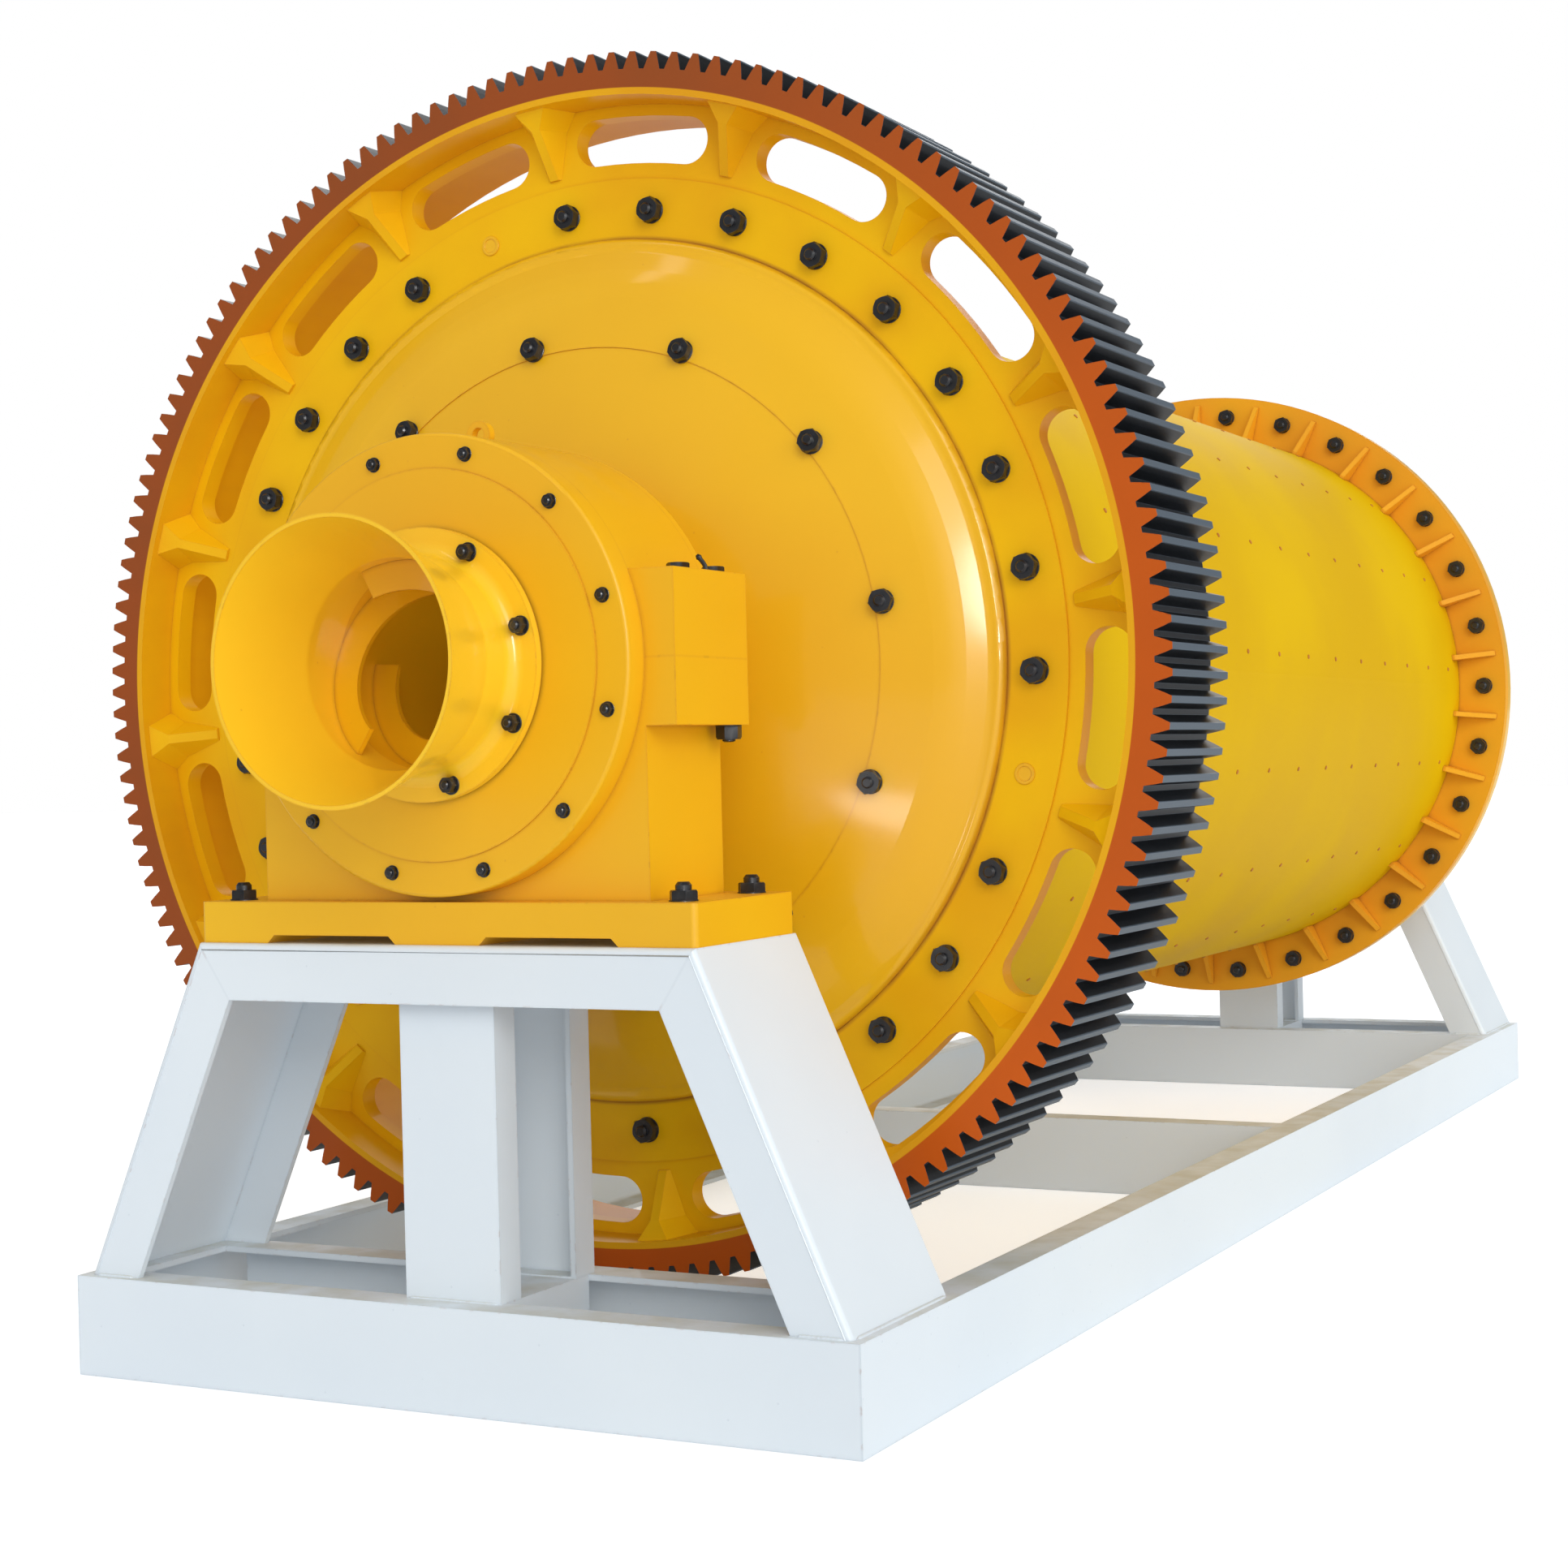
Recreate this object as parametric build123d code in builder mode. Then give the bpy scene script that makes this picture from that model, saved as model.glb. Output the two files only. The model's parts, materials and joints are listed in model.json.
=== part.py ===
from build123d import *
import math
import os

# Ball mill on a welded base frame.  Millimetres, +Z up, origin on the ground under the
# middle of the drum.  The mill axis runs along Y, and the discharge end faces -Y.

# Drum
drum_length = 3550.0
shell_radius = 785.0
shell_thickness = 20.0
drum_flange_width = 135.0
drum_flange_thickness = 36.0
gusset_count = 30
gusset_start_front = 4.0
gusset_start_rear = 6.0
gusset_thickness = 14.0
gusset_height = 112.0
gusset_length = 70.0
gusset_toe = 8.0
seat_gap = 0.3

# End heads
head_flange_thickness = 36.0
head_wall = 40.0
spigot_step = 22.0
spigot_length = 62.0
spigot_edge_radius = 14.0
spigot_land = 22.0
shoulder_width = 65.0
shoulder_rise = 32.0
shoulder_radius = 220.0
shoulder_foot_radius = 30.0
bolting_ring_inset = 122.0
bolting_ring_step = 2.0
cone_slope = 0.2
hub_radius = 262.0

# Hollow trunnions
journal_radius = 205.0
trunnion_bore_radius = 175.0
collar_radius = 235.0
collar_length = 40.0
collar_edge_radius = 6.0

# Girth gear
gear_module = 14.0
pressure_angle = math.radians(20)
dedendum_factor = 1.25
gear_reach = 335.0
gear_floor_clearance = 120.0
gear_face_width = 300.0
gear_web_thickness = 44.0
rim_front_overhang = 82.0
rim_thickness = 45.5
facing_ring_height = 5.0
window_count = 16
window_rim_gap = 21.0
window_height = 87.0
window_arc_span = 11.2
window_start_angle = 84.3
rib_foot_gap = 17.0
rib_setback = 12.0
rib_toe = 6.0
rib_crest = 18.0
rib_foot_width = 34.0
rib_head_width = 78.0
rib_flare_length = 34.0
rib_flare_width = 132.0

# Discharge trumpet, feed spout and the three spiral flights behind each
spout_flange_radius = 230.0
spout_flange_thickness = 16.0
spout_flange_gap = 5.0
spout_wall = 7.0
spout_neck_length = 75.0
spout_neck_radius = 24.0
spout_cone_length = 175.0
spout_mouth_radius = 236.0
spiral_reach = 45.0
spiral_count = 3
spiral_start_angle = 93.0
spiral_inner_radius = 125.0
spiral_thickness = 9.0
spiral_pitch = 330.0
spiral_turns = 0.5

# Trunnion bearings
bearing_distance = 268.4
bearing_depth = 250.0
bearing_half_width = 390.0
bearing_center_height = 470.0
bearing_edge_radius = 10.0
bearing_plate_height = 72.0
bearing_plate_depth = 345.0
plate_recess_offset = 220.0
plate_recess_width = 270.0
plate_recess_height = 14.0
plate_recess_angle = 45.0
clamp_block_reach = 57.0
clamp_block_above = 145.0
clamp_block_below = 112.0
outer_cover_thickness = 50.0
inner_cover_thickness = 24.0
cover_edge_radius = 6.0
cover_rim_width = 60.0
cover_boss_height = 4.0
cover_bore_gap = 7.0
journal_gap = 0.3
eye_radius = 24.0
eye_hole_radius = 12.0
eye_thickness = 16.0
eye_stem = 14.0

# Pedestals: a portal of three channels, mitred at the corners, with a middle column
pedestal_top_half_width = 500.0
pedestal_foot_inset = 20.0
pedestal_depth = 368.0
pedestal_flange = 100.0
pedestal_plate = 12.0
pedestal_bend_radius = 10.0
column_width = 192.0
column_depth = 300.0
column_flange = 62.0

# Base frame of rolled channels
base_half_width = 785.0
base_end_reach = 200.0
rail_height = 180.0
rail_flange = 70.0
web_thickness = 9.0
flange_thickness = 11.0
root_radius = 9.0

# Places that follow from these sizes
tooth_count = round(2 * (shell_radius + gear_reach) / gear_module)
pitch_radius = gear_module * tooth_count / 2
tip_radius = pitch_radius + gear_module
root_circle_radius = pitch_radius - dedendum_factor * gear_module
base_circle_radius = pitch_radius * math.cos(pressure_angle)
rim_inner_radius = root_circle_radius - rim_thickness
axis_height = tip_radius + gear_floor_clearance

inner_shell_radius = shell_radius - shell_thickness
flange_radius = shell_radius + drum_flange_width
spigot_radius = shell_radius + spigot_step
drum_end = drum_length / 2
head_face = drum_end + head_flange_thickness
gear_face = head_face + gear_web_thickness
spigot_face = head_face + spigot_length
shoulder_face = spigot_face + shoulder_rise
land_radius = spigot_radius - spigot_land
cone_start_radius = land_radius - shoulder_width
bolting_ring_radius = cone_start_radius - bolting_ring_inset
bolting_ring_face = shoulder_face + cone_slope * bolting_ring_inset
cone_end = shoulder_face + cone_slope * (cone_start_radius - hub_radius)

bearing_center = cone_end + bearing_distance
pedestal_top = axis_height - bearing_center_height
pedestal_foot_half_width = base_half_width - pedestal_foot_inset
plate_top = pedestal_top + bearing_plate_height
base_end = bearing_center + base_end_reach
base_inner_end = bearing_center - base_end_reach
cover_face = bearing_center + bearing_depth / 2 + outer_cover_thickness
spout_flange_back = cover_face + cover_boss_height + spout_flange_gap
spout_flange_front = spout_flange_back + spout_flange_thickness
spout_neck_end = spout_flange_front + spout_neck_length
spout_mouth = spout_neck_end + spout_cone_length
spout_throat_radius = trunnion_bore_radius + spout_wall

mill_axis = Axis((0, 0, axis_height), (0, 1, 0))
# Half section of the mill: first coordinate along the axis, second the radius
mill_section = Plane(origin=(0, 0, axis_height), x_dir=(0, 1, 0), z_dir=(1, 0, 0))

os.makedirs("parts", exist_ok=True)


def keep(piece, name):
    """Label a finished piece and write it."""
    piece.part.label = name
    export_step(piece.part, f"parts/{name}.step")


def upright(y, z=0.0):
    """Plane across the mill at y: first coordinate +X, second +Z."""
    return Plane(origin=(0, y, z), x_dir=(1, 0, 0), z_dir=(0, -1, 0))


def radial_planes(count, start_angle, forward):
    """Planes through the mill axis: first coordinate the radius, second along forward * Y."""
    planes = []
    for index in range(count):
        angle = math.radians(start_angle + 360 / count * index)
        outward = Vector(math.cos(angle), 0, math.sin(angle))
        side = outward.cross(Vector(0, forward, 0))
        planes.append(Plane(origin=(0, 0, axis_height), x_dir=outward, z_dir=side))
    return planes


def channel_section(height, flange):
    """Rolled channel: web on the left, flanges to the right, standing on its lower flange."""
    with BuildSketch() as section:
        Rectangle(flange, height, align=(Align.MIN, Align.MIN))
        with Locations((web_thickness, flange_thickness)):
            inside = height - 2 * flange_thickness
            Rectangle(flange, inside, align=(Align.MIN, Align.MIN), mode=Mode.SUBTRACT)
        fillet(section.vertices().group_by(Axis.X)[1], root_radius)
    return section.sketch


def turned(name, end, points, rounded=(), corner_radius=0.0):
    """A ring turned about the mill axis from (station, radius) points of one end.

    rounded holds the numbers of the points that get the corner radius.
    """
    with BuildPart() as ring:
        with BuildSketch(mill_section) as section:
            with BuildLine():
                Polyline(*[(end * station, radius) for station, radius in points], close=True)
            make_face()
            for number in rounded:
                station, radius = points[number]
                fillet(section.vertices().sort_by_distance((end * station, radius))[0], corner_radius)
        revolve(axis=mill_axis)
    keep(ring, name)


# Base frame: two side rails and two end beams mitred into a rectangle
for side, name in ((-1, "base_left_rail"), (1, "base_right_rail")):
    rail_plane = Plane(
        origin=(side * base_half_width, -side * base_end, 0), x_dir=(-side, 0, 0), z_dir=(0, side, 0)
    )
    with BuildPart() as rail:
        with BuildSketch(rail_plane):
            add(channel_section(rail_height, rail_flange))
        extrude(amount=2 * base_end)
        for end in (-1, 1):
            corner = (side * base_half_width, end * base_end, 0)
            split(bisect_by=Plane(origin=corner, z_dir=(side, -end, 0)), keep=Keep.TOP)
    keep(rail, name)

for end, name in ((-1, "front"), (1, "rear")):
    outer_plane = Plane(
        origin=(end * base_half_width, end * base_end, 0), x_dir=(0, -end, 0), z_dir=(-end, 0, 0)
    )
    with BuildPart() as outer_beam:
        with BuildSketch(outer_plane):
            add(channel_section(rail_height, rail_flange))
        extrude(amount=2 * base_half_width)
        for side in (-1, 1):
            corner = (side * base_half_width, end * base_end, 0)
            split(bisect_by=Plane(origin=corner, z_dir=(-side, end, 0)), keep=Keep.TOP)
    keep(outer_beam, f"base_{name}_end_beam")

    inner_reach = base_half_width - rail_flange
    inner_plane = Plane(
        origin=(-end * inner_reach, end * base_inner_end, 0), x_dir=(0, end, 0), z_dir=(end, 0, 0)
    )
    with BuildPart() as inner_beam:
        with BuildSketch(inner_plane):
            add(channel_section(rail_height, rail_flange))
        extrude(amount=2 * inner_reach)
    keep(inner_beam, f"base_{name}_inner_beam")

    # Short channel lying on its back under the column, between the two end beams
    saddle_length = 2 * base_end_reach - 2 * rail_flange
    saddle_plane = Plane(
        origin=(column_width / 2, bearing_center * end - saddle_length / 2, rail_height),
        x_dir=(0, 0, -1),
        z_dir=(0, 1, 0),
    )
    with BuildPart() as saddle:
        with BuildSketch(saddle_plane):
            add(channel_section(column_width, column_flange))
        extrude(amount=saddle_length)
    keep(saddle, f"base_{name}_saddle")

cross_reach = base_half_width - rail_flange
cross_plane = Plane(origin=(-cross_reach, -rail_flange / 2, 0), x_dir=(0, 1, 0), z_dir=(1, 0, 0))
with BuildPart() as cross_member:
    with BuildSketch(cross_plane):
        add(channel_section(rail_height, rail_flange))
    extrude(amount=2 * cross_reach)
keep(cross_member, "base_cross_member")

# Pedestals
leg_slope = (pedestal_foot_half_width - pedestal_top_half_width) / (pedestal_top - rail_height)
flange_across = pedestal_flange * math.hypot(1, leg_slope)
inner_top = pedestal_top - pedestal_flange
inner_foot_half_width = pedestal_foot_half_width - flange_across
inner_top_half_width = inner_foot_half_width - leg_slope * (inner_top - rail_height)


def between(start, finish, share):
    """Point at a share of the way from start to finish."""
    return tuple(a + (b - a) * share for a, b in zip(start, finish))


def portal_channel(name, y, outer_start, outer_end, inner_start, inner_end):
    """Channel with its web along the outer edge and two flanges reaching to the inner edge."""
    share = pedestal_plate / pedestal_flange
    web_start = between(outer_start, inner_start, share)
    web_end = between(outer_end, inner_end, share)
    with BuildPart() as channel:
        for face in (-1, 1):
            flange_back = y + face * (pedestal_depth / 2 - pedestal_plate / 2)
            with BuildSketch(upright(flange_back)):
                with BuildLine():
                    Polyline(outer_start, outer_end, inner_end, inner_start, close=True)
                make_face()
            extrude(amount=pedestal_plate / 2, both=True)
        with BuildSketch(upright(y)):
            with BuildLine():
                Polyline(outer_start, outer_end, web_end, web_start, close=True)
            make_face()
        extrude(amount=pedestal_depth / 2, both=True)
        across, up = between(outer_start, outer_end, 0.5)
        for face in (-1, 1):
            bend_middle = (across, y + face * pedestal_depth / 2, up)
            fillet(channel.edges().sort_by_distance(bend_middle)[0], pedestal_bend_radius)
    keep(channel, name)


for end, name in ((-1, "front"), (1, "rear")):
    pedestal_y = end * bearing_center
    for side, side_name in ((-1, "left"), (1, "right")):
        portal_channel(
            f"{name}_pedestal_{side_name}_leg",
            pedestal_y,
            (side * pedestal_foot_half_width, rail_height),
            (side * pedestal_top_half_width, pedestal_top),
            (side * inner_foot_half_width, rail_height),
            (side * inner_top_half_width, inner_top),
        )
    portal_channel(
        f"{name}_pedestal_top_beam",
        pedestal_y,
        (-pedestal_top_half_width, pedestal_top),
        (pedestal_top_half_width, pedestal_top),
        (-inner_top_half_width, inner_top),
        (inner_top_half_width, inner_top),
    )
    for face, face_name in ((-1, "outer"), (1, "inner")):
        web_y = pedestal_y - end * face * column_depth / 2
        column_plane = Plane(
            origin=(-column_width / 2, web_y, rail_height), x_dir=(0, end * face, 0), z_dir=(0, 0, 1)
        )
        with BuildPart() as column:
            with BuildSketch(column_plane):
                upright_section = channel_section(column_width, column_flange)
                if end * face > 0:
                    upright_section = upright_section.mirror(Plane.XZ)
                add(upright_section)
            extrude(amount=pedestal_top - rail_height - pedestal_plate)
        keep(column, f"{name}_column_{face_name}")

# Trunnion bearings: a base with a plate, a cap, and a turned cover on each side
bore_radius = journal_radius + journal_gap
cover_radius = bearing_half_width
cover_boss_radius = cover_radius - cover_rim_width
cover_bore = journal_radius + cover_bore_gap
block_width = 2 * (bearing_half_width + clamp_block_reach)
align_up = (Align.CENTER, Align.MIN)
align_down = (Align.CENTER, Align.MAX)
for end, name in ((-1, "front"), (1, "rear")):
    bearing_y = end * bearing_center
    with BuildPart() as bearing_base:
        with BuildSketch(upright(bearing_y, pedestal_top)):
            Rectangle(2 * pedestal_top_half_width, bearing_plate_height, align=align_up)
            with Locations((-plate_recess_offset, 0), (plate_recess_offset, 0)):
                Trapezoid(
                    plate_recess_width,
                    plate_recess_height,
                    plate_recess_angle,
                    align=align_up,
                    mode=Mode.SUBTRACT,
                )
        extrude(amount=bearing_plate_depth / 2, both=True)
        fillet(
            bearing_base.edges().filter_by(Axis.Z).group_by(SortBy.LENGTH)[-1],
            bearing_edge_radius,
        )
        with BuildSketch(upright(bearing_y, plate_top)):
            Rectangle(2 * bearing_half_width, axis_height - plate_top, align=align_up)
        extrude(amount=bearing_depth / 2, both=True)
        with BuildSketch(upright(bearing_y, axis_height)):
            Rectangle(block_width, clamp_block_below, align=align_down)
        extrude(amount=bearing_depth / 2, both=True)
        with BuildSketch(upright(bearing_y, axis_height)):
            Circle(bore_radius)
        extrude(amount=bearing_depth / 2, both=True, mode=Mode.SUBTRACT)
    keep(bearing_base, f"{name}_bearing_base")

    with BuildPart() as bearing_cap:
        with BuildSketch(upright(bearing_y, axis_height)):
            Circle(bearing_half_width)
            Rectangle(block_width, clamp_block_above, align=align_up)
            Rectangle(block_width, bearing_half_width, align=align_down, mode=Mode.SUBTRACT)
        extrude(amount=bearing_depth / 2, both=True)
        with BuildSketch(upright(bearing_y, axis_height)):
            with Locations((0, bearing_half_width + eye_stem)):
                Circle(eye_radius)
                Circle(eye_hole_radius, mode=Mode.SUBTRACT)
        extrude(amount=eye_thickness / 2, both=True)
        with BuildSketch(upright(bearing_y, axis_height)):
            Circle(bore_radius)
        extrude(amount=bearing_depth / 2, both=True, mode=Mode.SUBTRACT)
    keep(bearing_cap, f"{name}_bearing_cap")

    for face, face_name, thickness in (
        (1, "outer", outer_cover_thickness),
        (-1, "inner", inner_cover_thickness),
    ):
        back = bearing_center + face * bearing_depth / 2
        front = back + face * thickness
        boss = front + face * cover_boss_height
        turned(
            f"{name}_bearing_{face_name}_cover",
            end,
            [
                (back, cover_bore),
                (back, cover_radius),
                (front, cover_radius),
                (front, cover_boss_radius),
                (boss, cover_boss_radius),
                (boss, cover_bore),
            ],
            rounded=(2,),
            corner_radius=cover_edge_radius,
        )

# Drum shell with a flange welded on each end, stiffened by gussets between the bolts
with BuildPart() as drum_shell:
    with BuildSketch(upright(0, axis_height)):
        Circle(shell_radius)
        Circle(inner_shell_radius, mode=Mode.SUBTRACT)
    extrude(amount=drum_length / 2, both=True)
keep(drum_shell, "drum_shell")

flange_bore = shell_radius + seat_gap
flange_back = drum_end - drum_flange_thickness
for end, name, gusset_start in ((-1, "front", gusset_start_front), (1, "rear", gusset_start_rear)):
    with BuildPart() as drum_flange:
        with BuildSketch(mill_section):
            with BuildLine():
                Polyline(
                    (end * drum_end, inner_shell_radius),
                    (end * drum_end, flange_radius),
                    (end * flange_back, flange_radius),
                    (end * flange_back, inner_shell_radius),
                    close=True,
                )
            make_face()
        revolve(axis=mill_axis)
        with BuildSketch(*radial_planes(gusset_count, gusset_start, end)):
            with BuildLine():
                Polyline(
                    (inner_shell_radius, drum_end),
                    (flange_bore + gusset_height, drum_end),
                    (flange_bore + gusset_height, flange_back - gusset_toe),
                    (flange_bore + gusset_toe, flange_back - gusset_length),
                    (inner_shell_radius, flange_back - gusset_length),
                    close=True,
                )
            make_face()
        extrude(amount=gusset_thickness / 2, both=True)
        with BuildSketch(upright(0, axis_height)):
            Circle(flange_bore)
        extrude(amount=drum_end, both=True, mode=Mode.SUBTRACT)
    keep(drum_flange, f"drum_{name}_flange")

# End heads: a flange, a spigot, a rounded shoulder and a shallow cone up to the hub
trunnion_seat = journal_radius + seat_gap
for end, name in ((-1, "front"), (1, "rear")):
    with BuildPart() as head:
        with BuildSketch(mill_section) as head_section:
            with BuildLine():
                Polyline(
                    (end * drum_end, inner_shell_radius),
                    (end * drum_end, flange_radius),
                    (end * head_face, flange_radius),
                    (end * head_face, spigot_radius),
                    (end * spigot_face, spigot_radius),
                    (end * spigot_face, land_radius),
                    (end * shoulder_face, cone_start_radius),
                    (end * bolting_ring_face, bolting_ring_radius),
                    (end * (bolting_ring_face - bolting_ring_step), bolting_ring_radius),
                    (end * (cone_end - bolting_ring_step), hub_radius),
                    (end * (cone_end - bolting_ring_step), trunnion_seat),
                    (end * (cone_end - head_wall), trunnion_seat),
                    (end * (shoulder_face - head_wall), cone_start_radius),
                    close=True,
                )
            make_face()
            for corner_radius, station, radius in (
                (spigot_edge_radius, spigot_face, spigot_radius),
                (shoulder_foot_radius, spigot_face, land_radius),
                (shoulder_radius, shoulder_face, cone_start_radius),
            ):
                corner = head_section.vertices().sort_by_distance((end * station, radius))[0]
                fillet(corner, corner_radius)
        revolve(axis=mill_axis)
    keep(head, f"{name}_head")

    # Hollow trunnion: journal in the bearing, collar against the hub, tail in the hub
    hub_face = cone_end - bolting_ring_step
    turned(
        f"{name}_trunnion",
        end,
        [
            (cone_end - head_wall, trunnion_bore_radius),
            (cone_end - head_wall, journal_radius),
            (hub_face, journal_radius),
            (hub_face, collar_radius),
            (hub_face + collar_length, collar_radius),
            (hub_face + collar_length, journal_radius),
            (spout_flange_back, journal_radius),
            (spout_flange_back, trunnion_bore_radius),
        ],
        rounded=(4,),
        corner_radius=collar_edge_radius,
    )

# Girth gear: toothed rim, web with windows, flared ribs, and a facing ring for the bolts
window_radius = rim_inner_radius - window_rim_gap - window_height / 2
gear_front = gear_face + rim_front_overhang
gear_bore = spigot_radius + seat_gap
web_face = gear_face - facing_ring_height
rib_foot_radius = flange_radius + rib_foot_gap


def involute(angle):
    """Involute function of an angle."""
    return math.tan(angle) - angle


def tooth_half_angle(radius):
    """Half the angle that a tooth fills at a radius."""
    flank_angle = math.acos(base_circle_radius / radius)
    return math.pi / 2 / tooth_count + involute(pressure_angle) - involute(flank_angle)


def tooth_outline():
    """Points round the gear, each tooth rising and falling along its involute flanks."""
    rising = (root_circle_radius, pitch_radius, tip_radius)
    corners = [(radius, -1) for radius in rising] + [(radius, 1) for radius in reversed(rising)]
    points = []
    for tooth in range(tooth_count):
        center = 2 * math.pi / tooth_count * tooth
        for radius, flank in corners:
            angle = center + flank * tooth_half_angle(radius)
            points.append((radius * math.cos(angle), radius * math.sin(angle)))
    return points


def rib_sections(angle):
    """Plane, width at the web, width of the crest and height of a rib, from foot to rim."""
    outward = Vector(math.cos(math.radians(angle)), 0, math.sin(math.radians(angle)))
    flare_start = rim_inner_radius - rib_flare_length
    full_height = rim_front_overhang + facing_ring_height - rib_setback
    shares = (0, (flare_start - rib_foot_radius) / (rim_inner_radius - rib_foot_radius), 1)
    radii = (rib_foot_radius, flare_start, rim_inner_radius + rib_toe)
    widths = (rib_foot_width, rib_head_width, rib_flare_width)
    crests = (rib_crest, rib_crest, rib_crest + rib_flare_width - rib_head_width)
    for share, radius, width, crest in zip(shares, radii, widths, crests):
        origin = Vector(0, -web_face, axis_height) + outward * radius
        plane = Plane(origin=origin, x_dir=outward.cross(Vector(0, 1, 0)), z_dir=outward)
        yield plane, width, crest, rib_toe + share * (full_height - rib_toe)


window_arc = CenterArc((0, 0), window_radius, -window_arc_span / 2, window_arc_span)
with BuildPart() as girth_gear:
    with BuildSketch(upright(-web_face, axis_height)):
        Circle(rim_inner_radius + gear_module)
    extrude(amount=facing_ring_height - gear_web_thickness)
    for window in range(window_count):
        rib_angle = window_start_angle + 360 / window_count * (window + 0.5)
        for plane, width, crest, height in rib_sections(rib_angle):
            with BuildSketch(plane):
                with BuildLine():
                    Polyline(
                        (-width / 2, -rib_toe),
                        (width / 2, -rib_toe),
                        (crest / 2, height),
                        (-crest / 2, height),
                        close=True,
                    )
                make_face()
        loft(ruled=True)
    with BuildSketch(upright(-web_face, axis_height)):
        Circle(gear_bore)
        with PolarLocations(0, window_count, start_angle=window_start_angle):
            SlotArc(window_arc, window_height)
    extrude(amount=gear_web_thickness, both=True, mode=Mode.SUBTRACT)
    with BuildSketch(upright(-gear_face, axis_height)):
        Circle(flange_radius)
        Circle(gear_bore, mode=Mode.SUBTRACT)
    extrude(amount=-facing_ring_height)
    with BuildSketch(upright(-gear_front, axis_height)):
        with BuildLine():
            Polyline(*tooth_outline(), close=True)
        make_face()
        Circle(rim_inner_radius, mode=Mode.SUBTRACT)
    extrude(amount=-gear_face_width)
keep(girth_gear, "girth_gear")

# Discharge trumpet at the front and feed spout at the rear, with spiral flights behind each
flight_length = spiral_pitch * spiral_turns
spiral_outer_radius = trunnion_bore_radius - seat_gap
flight_width = spiral_outer_radius - spiral_inner_radius
flight_radius = (spiral_outer_radius + spiral_inner_radius) / 2
for end, spout_name, spiral_name in (
    (-1, "discharge_trumpet", "discharge_spiral"),
    (1, "feed_spout", "feed_spiral"),
):
    turned(
        spout_name,
        end,
        [
            (spout_flange_back, trunnion_bore_radius),
            (spout_flange_back, spout_flange_radius),
            (spout_flange_front, spout_flange_radius),
            (spout_flange_front, spout_throat_radius),
            (spout_neck_end, spout_throat_radius),
            (spout_mouth, spout_mouth_radius),
            (spout_mouth, spout_mouth_radius - spout_wall),
            (spout_neck_end, trunnion_bore_radius),
        ],
        rounded=(3, 4, 7),
        corner_radius=spout_neck_radius,
    )
    flight_start = end * (spout_flange_front + spiral_reach) - (flight_length if end > 0 else 0)
    for number in range(spiral_count):
        with BuildPart() as flight:
            with BuildLine() as flight_path:
                first_path = Helix(
                    spiral_pitch,
                    flight_length,
                    flight_radius,
                    center=(0, flight_start, axis_height),
                    direction=(0, 1, 0),
                    mode=Mode.PRIVATE,
                )
                add(first_path.rotate(mill_axis, spiral_start_angle + 360 / spiral_count * number))
            path_start = flight_path.line @ 0
            outward = Vector(path_start.X, 0, path_start.Z - axis_height)
            with BuildSketch(Plane(path_start, x_dir=outward, z_dir=flight_path.line % 0)):
                Rectangle(flight_width, spiral_thickness)
            sweep(path=flight_path.line, is_frenet=True)
        keep(flight, spiral_name if number == 0 else f"{spiral_name}_{number + 1}")
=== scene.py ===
# %% [markdown]
# Lesson: a ball mill in amber paint
#
# The mill is a steel drum that turns on two hollow necks. Each neck rests in a bearing on a welded
# white stand, and a toothed ring round one end takes the drive. The shapes that have a size came from
# the CAD model. Here the model gets what paint, light and small fasteners add. All lengths are metres.

import json

import bpy
import numpy as np
from mathutils import Matrix, Vector


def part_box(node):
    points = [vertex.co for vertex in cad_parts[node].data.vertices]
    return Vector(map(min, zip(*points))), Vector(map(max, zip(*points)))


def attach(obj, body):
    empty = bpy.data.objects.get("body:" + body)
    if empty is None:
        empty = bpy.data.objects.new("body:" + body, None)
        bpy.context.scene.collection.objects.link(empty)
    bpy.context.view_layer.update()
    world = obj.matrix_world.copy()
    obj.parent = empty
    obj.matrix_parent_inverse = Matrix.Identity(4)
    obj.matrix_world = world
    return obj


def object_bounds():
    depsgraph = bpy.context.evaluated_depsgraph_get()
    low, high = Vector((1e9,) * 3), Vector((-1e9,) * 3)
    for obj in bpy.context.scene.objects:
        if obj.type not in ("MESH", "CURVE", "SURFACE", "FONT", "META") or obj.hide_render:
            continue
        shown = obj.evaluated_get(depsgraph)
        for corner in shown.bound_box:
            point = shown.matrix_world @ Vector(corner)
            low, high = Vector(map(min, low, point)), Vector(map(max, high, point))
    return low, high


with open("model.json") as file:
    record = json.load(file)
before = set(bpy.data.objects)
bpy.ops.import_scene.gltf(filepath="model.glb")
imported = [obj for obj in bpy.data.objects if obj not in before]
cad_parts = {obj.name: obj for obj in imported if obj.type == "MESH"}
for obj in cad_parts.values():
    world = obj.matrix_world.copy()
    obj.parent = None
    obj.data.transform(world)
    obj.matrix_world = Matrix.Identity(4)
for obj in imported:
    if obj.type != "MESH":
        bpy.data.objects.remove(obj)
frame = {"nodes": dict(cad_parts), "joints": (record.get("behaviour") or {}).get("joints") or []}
cad_low, cad_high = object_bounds()
print("CAD box", [round(high - low, 3) for low, high in zip(cad_low, cad_high)])

# %% [markdown]
# Every bolt circle on a mill is centred on the line it turns about, so one helper serves them all.
# It takes angles as on a clock: from straight up, towards the right-hand side. A list of places typed
# by hand would also work, but it would hide that the bolts are evenly spaced. The mill's two ends are
# alike, so most cells below run once for the front (y below zero) and once for the rear.

# %% Places on the circles of the mill
axis_height = frame["joints"][0]["pos_m"][2]
forward = np.array([0.0, -1.0, 0.0])
backward = -forward
upward = np.array([0.0, 0.0, 1.0])
mill_ends = (("front", -1), ("rear", 1))


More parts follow.
